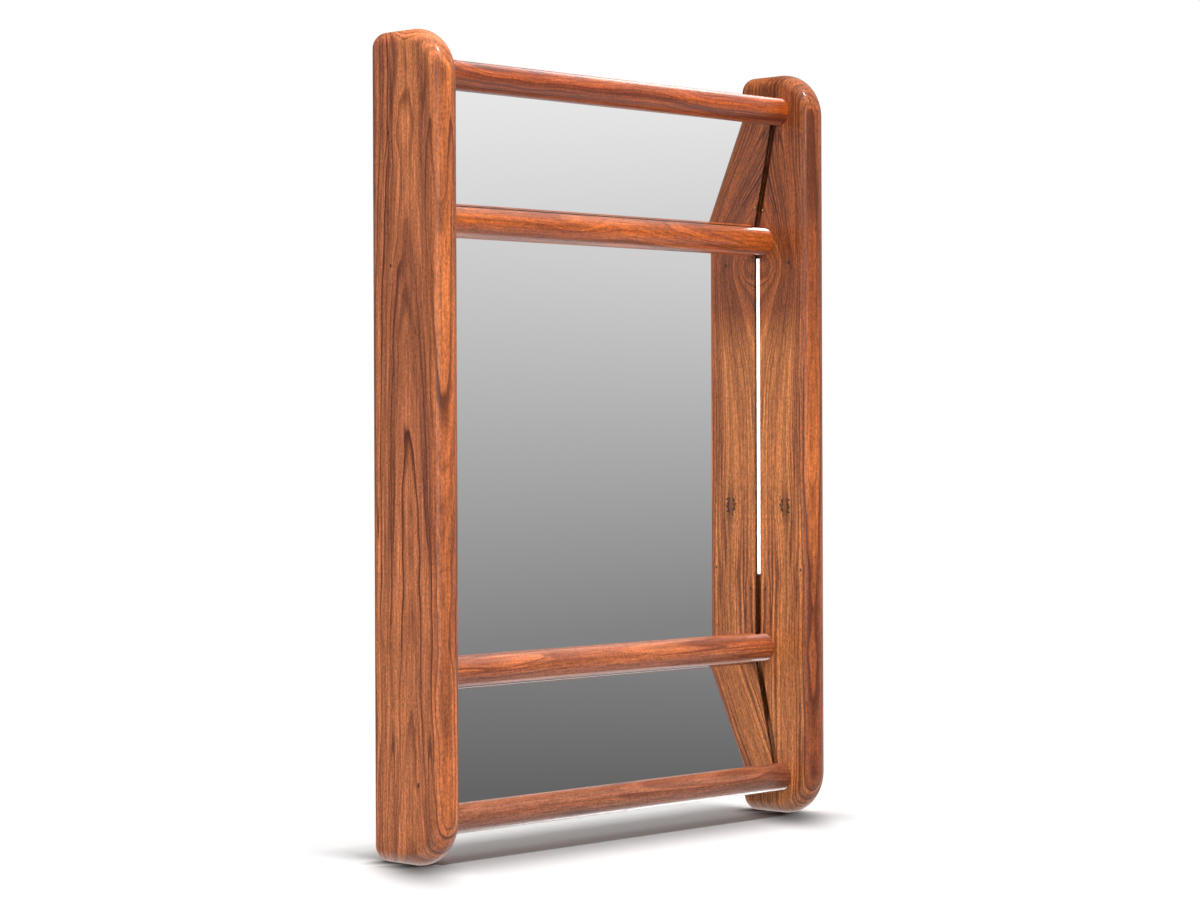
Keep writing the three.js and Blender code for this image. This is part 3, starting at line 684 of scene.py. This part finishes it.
def floor_finish():
    material, w, shader = new_material("pale floor")
    place = w.node("ShaderNodeTexCoord").outputs["Object"]
    spot = w.node("ShaderNodeSeparateXYZ", Vector=place).outputs

    def beyond(value, low, high, below, above):
        """How far the value lies outside low to high, times a factor for each side."""
        under = w.math("MULTIPLY", w.math("MAXIMUM", w.math("SUBTRACT", low, value), 0.0), below)
        over = w.math("MULTIPLY", w.math("MAXIMUM", w.math("SUBTRACT", value, high), 0.0), above)
        return w.math("ADD", under, over)

    # a painted shadow of the given depth where across and along are 0, gone at the reach
    def painted_shadow_patch(across, along, reach, depth):
        gap = w.vector("LENGTH", w.node("ShaderNodeCombineXYZ", X=across, Y=along).outputs[0])
        return w.ramp(gap, 0.0, reach, depth, 0.0)
    # painted shadow: a band along the mirror, a dark patch where each foot stands, and a tail running out from each
    # foot
    strip = painted_shadow_patch(beyond(spot["X"], -0.28, 0.28, 0.75, 0.75),
                       beyond(spot["Y"], -0.022, -0.022, 0.53, 8.0), 0.058, 0.50)
    from_board = w.math("SUBTRACT", spot["X"], w.math("MULTIPLY", w.math("SIGN", spot["X"]), 0.294))
    painted_contact_shadow = painted_shadow_patch(from_board, beyond(spot["Y"], -0.003, 0.038, 1.68, 1.68), 0.047, 0.98)
    from_foot = w.node("ShaderNodeCombineXYZ", X=from_board, Y=spot["Y"]).outputs[0]
    ahead = w.vector("DOT_PRODUCT", from_foot, (-math.sin(SHADOW_TAIL_TURN), -math.cos(SHADOW_TAIL_TURN), 0.0))
    beside = w.vector("DOT_PRODUCT", from_foot, (math.cos(SHADOW_TAIL_TURN), -math.sin(SHADOW_TAIL_TURN), 0.0))
    tail = painted_shadow_patch(w.math("ADD", beside, 0.007), beyond(ahead, 0.003, 0.003, 5.9, 0.284), 0.059, 0.81)
    # the floor's tone is what the painted shadows leave of it
    lit = w.math("MULTIPLY", w.math("SUBTRACT", 1.0, strip), w.math("SUBTRACT", 1.0, painted_contact_shadow))
    shade = w.math("MULTIPLY", w.math("MULTIPLY", lit, w.math("SUBTRACT", 1.0, tail)), FLOOR_TONE)
    tint = w.node("ShaderNodeCombineColor", Red=shade, Green=shade, Blue=shade).outputs[0]
    w.feed(shader.inputs["Base Color"], tint)
    shader.inputs["Roughness"].default_value = 0.8
    shader.inputs["Specular IOR Level"].default_value = 0.1
    distance = w.vector("LENGTH", place)
    seen = w.node("ShaderNodeLightPath").outputs["Is Camera Ray"]
    whitened = w.math("MULTIPLY", seen, w.ramp(distance, *FLOOR_FADE))
    white = w.node("ShaderNodeEmission", Color=(1.0, 1.0, 1.0, 1.0), Strength=1.0)
    blend = w.node("ShaderNodeMixShader")
    w.feed(blend.inputs[0], whitened)
    w.feed(blend.inputs[1], shader.outputs["BSDF"])
    w.feed(blend.inputs[2], white.outputs["Emission"])
    w.feed(material.node_tree.nodes["Material Output"].inputs["Surface"], blend.outputs[0])
    return material


floor = new_piece("floor", add_disc)
floor.data.materials.append(floor_finish())
floor.visible_glossy = False

# ---- studio light -------------------------------------------------------------------------
# The camera sees white all round. The panes see the studio's far wall, which shades with height.
# Two soft boxes hang overhead and cast part of the floor's shadow; the rest is painted into the floor. The others
# light the mirror alone, and the last one only the pale strips in the slits.

FAR_WALL = (-0.208, -0.978, 0.0)        # the way from the mirror to the wall that the panes see
WALL_SHADES = (                         # slope of the line of sight, and the wall's brightness
    (-1.00, 1.10), (-0.58, 0.70), (-0.46, 0.70), (-0.41, 0.79), (-0.36, 0.88), (-0.29, 0.72), (-0.19, 0.26),
    (-0.13, 0.238), (-0.06, 0.352), (0.0, 0.456), (0.065, 0.58), (0.115, 0.68), (0.20, 0.56),
    (0.29, 0.15), (0.35, 0.136), (0.43, 0.216), (0.70, 0.70), (1.00, 0.85),
)
BACKDROP, BACKDROP_FOOT, BACKDROP_HEAD = 0.15, 1.7, 1.2
AMBIENT_FRONT, AMBIENT_BACK = 0.18, 0.28


def grey(value):
    return value, value, value, 1.0


def wall_shade(w, direction):
    """Brightness of the far wall along a direction."""
    ahead = w.math("MAXIMUM", w.vector("DOT_PRODUCT", direction, FAR_WALL), 0.05)
    rise = w.node("ShaderNodeSeparateXYZ", Vector=direction).outputs["Z"]
    slope = w.math("DIVIDE", rise, ahead)
    ramp = w.node("ShaderNodeValToRGB", Fac=w.math("MULTIPLY_ADD", slope, 0.5, 0.5, clamp=True))
    stops = ramp.color_ramp.elements
    while len(stops) < len(WALL_SHADES):
        stops.new(0.5)
    for stop, (at_slope, value) in zip(stops, WALL_SHADES):
        stop.position = at_slope / 2 + 0.5
        stop.color = grey(value)
    return ramp.outputs["Color"]


world = bpy.data.worlds.new("studio")
bpy.context.scene.world = world
world.use_nodes = True
w = Wiring(world.node_tree)
background = world.node_tree.nodes["Background"]
ray = w.node("ShaderNodeLightPath").outputs
direction = w.node("ShaderNodeTexCoord").outputs["Generated"]
behind = w.ramp(w.node("ShaderNodeSeparateXYZ", Vector=direction).outputs["Y"], -0.08, 0.25)
ambient = w.mix(behind, grey(AMBIENT_FRONT), grey(AMBIENT_BACK))
way = w.node("ShaderNodeSeparateXYZ", Vector=direction).outputs
backdrop = w.mix(w.ramp(way["Z"], -0.6, -0.2), grey(BACKDROP_FOOT), grey(BACKDROP))
head = w.math("MULTIPLY", w.ramp(way["Z"], 0.35, 0.60), w.ramp(way["Y"], 0.35, 0.60, 1.0, 0.0))
backdrop = w.mix(head, backdrop, grey(BACKDROP_HEAD))
mirrored = w.mix(behind, wall_shade(w, direction), backdrop)
seen = w.mix(ray["Is Glossy Ray"], ambient, mirrored)
seen = w.mix(w.math("MAXIMUM", ray["Is Camera Ray"], ray["Is Transmission Ray"]), seen, grey(1.0))
w.feed(background.inputs["Color"], seen)

SOFT_BOXES = (
    ("overhead", (0.0, -1.4, 20.0), (0.0, -1.4, 0.0), (1.2, 2.2), 2500.0),
    ("overhead wide", (0.0, -0.25, 20.0), (0.0, -0.25, 0.0), (1.2, 9.0), 1200.0),
    ("front", (-0.9, -2.4, 2.2), (0.0, 0.0, 0.45), (1.3, 1.0), 72.0),
    ("high front", (-0.6, -1.3, 3.2), (0.0, 0.0, 0.45), (0.4, 0.4), 40.0),
    ("left", (-2.6, -0.9, 0.8), (0.0, 0.0, 0.45), (1.4, 1.6), 13.0),
    ("behind left", (-1.3, 2.2, 1.3), (0.0, 0.0, 0.45), (1.4, 1.2), 5.0),
    ("high right", (2.1, -0.5, 2.4), (0.0, 0.0, 0.45), (1.2, 1.2), 20.0),
)
NOT_MIRRORED = ("overhead", "overhead wide", "front", "high right", "behind left")      # give no highlight
SLIT_LIGHT = ("slit", (-2.4, -2.3, 0.5), (0.28, 0.03, 0.45), (0.5, 0.5), 230.0)
RAIL_SHEENS = (         # what the panes throw back on the rails before them, which shines at grazing angles
    ("sheen on the top rail", ("top_bar",), (1.4, 0.62, 1.85), (0.0, 0.0, 0.45), (0.6, 0.6), 6.0),
    ("sheen on the middle rails", ("upper_bar", "lower_bar"),
     (1.4, 0.62, 1.85), (0.0, 0.0, 0.45), (0.6, 0.6), 36.0),
    ("sheen from below", ("top_bar", "upper_bar", "lower_bar", "bottom_bar"),
     (1.4, 0.62, -0.95), (0.0, 0.0, 0.45), (0.6, 0.6), 6.0),
)


def add_soft_box(name, place, aim, size, power):
    lamp = bpy.data.lights.new(name, "AREA")
    lamp.shape = "RECTANGLE"
    lamp.size, lamp.size_y = size
    lamp.energy = power
    box = bpy.data.objects.new(name, lamp)
    bpy.context.scene.collection.objects.link(box)
    box.location = place
    box.rotation_euler = (Vector(aim) - Vector(place)).to_track_quat("-Z", "Y").to_euler()
    return box


def collect(name, pieces, state="INCLUDE"):
    """A collection of pieces that a lamp lights alone, or leaves out."""
    group = bpy.data.collections.new(name)
    for piece in pieces:
        group.objects.link(piece)
    for entry in group.collection_objects:
        entry.light_linking.link_state = state
    return group


unlit_floor = collect("floor out of the side lights", [floor], "EXCLUDE")
boards = [bpy.data.objects[side_name + "_board"] for side_name, _ in SIDES]
open_boards = collect("boards that throw no overhead shadow", boards, "EXCLUDE")
for soft_box in SOFT_BOXES:
    box = add_soft_box(*soft_box)
    if box.name.startswith("overhead"):
        box.light_linking.blocker_collection = open_boards
    else:
        box.light_linking.receiver_collection = unlit_floor
    box.visible_glossy = box.name not in NOT_MIRRORED

strips = [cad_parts[node] for node in nodes_with("_felt_strip")]
add_soft_box(*SLIT_LIGHT).light_linking.receiver_collection = collect("pale strips", strips)
for name, bars, *lamp in RAIL_SHEENS:
    box = add_soft_box(name, *lamp)
    rails = collect(name, [bpy.data.objects[bar] for bar in bars])
    box.light_linking.receiver_collection = rails
    box.light_linking.blocker_collection = rails

# ---- camera -------------------------------------------------------------------------------
# At the photograph's place: front left, about half the mirror's height above the floor.

CAMERA_PLACE = (-2.4374, -2.3067, 0.4469)
CAMERA_YAW = 0.8094
CAMERA_PITCH = -0.0058
CAMERA_ROLL = -0.0038

camera = bpy.data.objects.new("camera", bpy.data.cameras.new("camera"))
bpy.context.scene.collection.objects.link(camera)
camera.data.sensor_width = 36.0
camera.data.lens = 91.19
camera.location = CAMERA_PLACE
aim = Matrix.Rotation(-CAMERA_YAW, 4, "Z") @ Matrix.Rotation(math.pi / 2 + CAMERA_PITCH, 4, "X")
camera.rotation_euler = (aim @ Matrix.Rotation(CAMERA_ROLL, 4, "Z")).to_euler()
bpy.context.scene.camera = camera
bpy.context.scene.view_settings.view_transform = "Standard"
